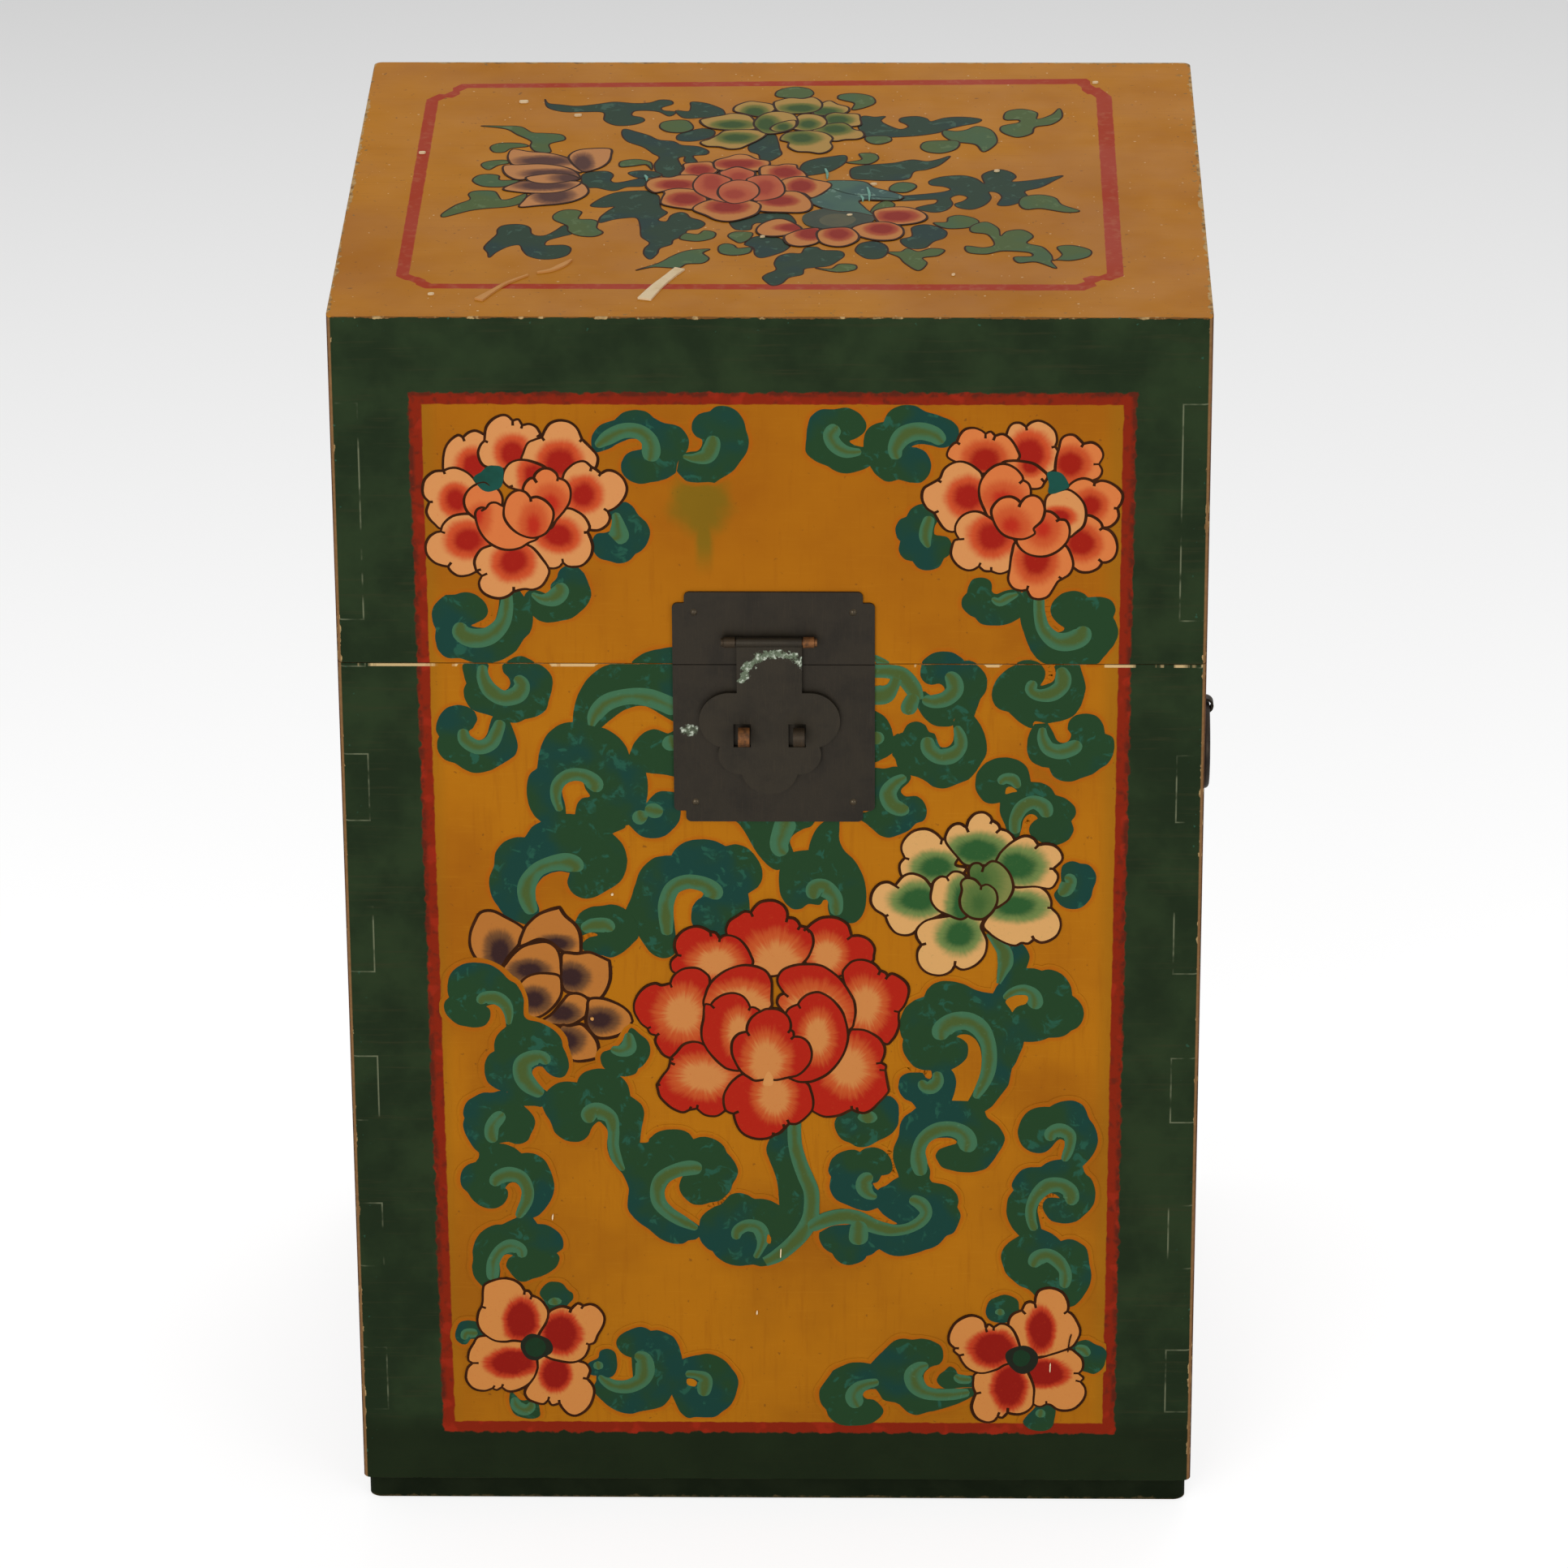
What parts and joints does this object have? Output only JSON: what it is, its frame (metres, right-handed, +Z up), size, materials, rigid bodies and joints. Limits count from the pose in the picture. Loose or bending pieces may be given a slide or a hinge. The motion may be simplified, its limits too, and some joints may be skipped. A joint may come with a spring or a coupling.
{
  "type": "painted trunk",
  "caption": "Tall wooden storage trunk with a deep hinged lid, a plate lock with a swinging cloud-shaped hasp for a padlock, and a ring handle on each side.",
  "frame": {"origin": "centre of the base board's underside, on the floor, midway between the sides and between the front and back boards' faces", "axes": "+Z up, front with the lock faces -Y, +X to the right as seen from the front"},
  "size_m": [0.4214, 0.3586, 0.615],
  "materials": {
    "front_paint": "dark green paint over wood, red line border, ochre panel with flowers, aged varnish",
    "back_paint": "thin dark brown stain over wood",
    "side_paint": "worn red-brown paint over wood",
    "top_paint": "ochre paint with a red line border and flowers, worn at the edges",
    "base_wood": "dark green paint, worn to wood at the lower edge",
    "plate_metal": "dark bronze patina with rubbed edges",
    "hasp_metal": "dark bronze patina with pale green and white bloom",
    "ring_metal": "dark bronze, rubbed bright where it is held",
    "strip_brass": "old copper-coloured brass, dark in the corners",
    "nail_brass": "dull domed brass",
    "hinge_steel": "dull steel with a little rust"
  },
  "bodies": {
    "trunk": {"bottom_board": "base_wood", "base_nails": "hinge_steel", "front_board": "front_paint", "back_board": "back_paint", "left_board": "side_paint", "right_board": "side_paint", "lower_lock_plate": "plate_metal", "lower_plate_nails": "nail_brass", "staple_left": "strip_brass", "staple_right": "strip_brass", "left_ring_eye": "strip_brass", "left_rosette": "plate_metal", "right_ring_eye": "strip_brass", "right_rosette": "plate_metal", "left_hinge_lower_leaf": "hinge_steel", "left_hinge_pin": "hinge_steel", "left_hinge_lower_screws": "hinge_steel", "right_hinge_lower_leaf": "hinge_steel", "right_hinge_pin": "hinge_steel", "right_hinge_lower_screws": "hinge_steel"},
    "lid": {"lid_front_board": "front_paint", "lid_back_board": "back_paint", "lid_left_board": "side_paint", "lid_right_board": "side_paint", "lid_top_front_plank": "top_paint", "lid_top_rear_plank": "top_paint", "upper_lock_plate": "plate_metal", "upper_plate_nails": "nail_brass", "hasp_pin": "strip_brass", "hasp_eye_left": "strip_brass", "hasp_eye_right": "strip_brass", "left_hinge_upper_leaf": "hinge_steel", "left_hinge_upper_screws": "hinge_steel", "right_hinge_upper_leaf": "hinge_steel", "right_hinge_upper_screws": "hinge_steel"},
    "hasp": {"hasp": "hasp_metal"},
    "left_ring": {"left_ring": "ring_metal"},
    "right_ring": {"right_ring": "ring_metal"}
  },
  "joints": [
    {"name": "lid_hinge", "type": "hinge", "parent": "trunk", "child": "lid", "pos_m": [0, 0.1733, 0.4442], "axis": [-1, 0, 0], "range_deg": [0, 180]},
    {"name": "hasp_hinge", "type": "hinge", "parent": "lid", "child": "hasp", "pos_m": [-0.001, -0.1747, 0.457], "axis": [-1, 0, 0], "range_deg": [0, 180]},
    {"name": "left_ring_swing", "type": "hinge", "parent": "trunk", "child": "left_ring", "pos_m": [-0.2066, 0, 0.3465], "axis": [0, 1, 0], "range_deg": [-5, 185]},
    {"name": "right_ring_swing", "type": "hinge", "parent": "trunk", "child": "right_ring", "pos_m": [0.2066, 0, 0.3465], "axis": [0, -1, 0], "range_deg": [-5, 185]}
  ]
}
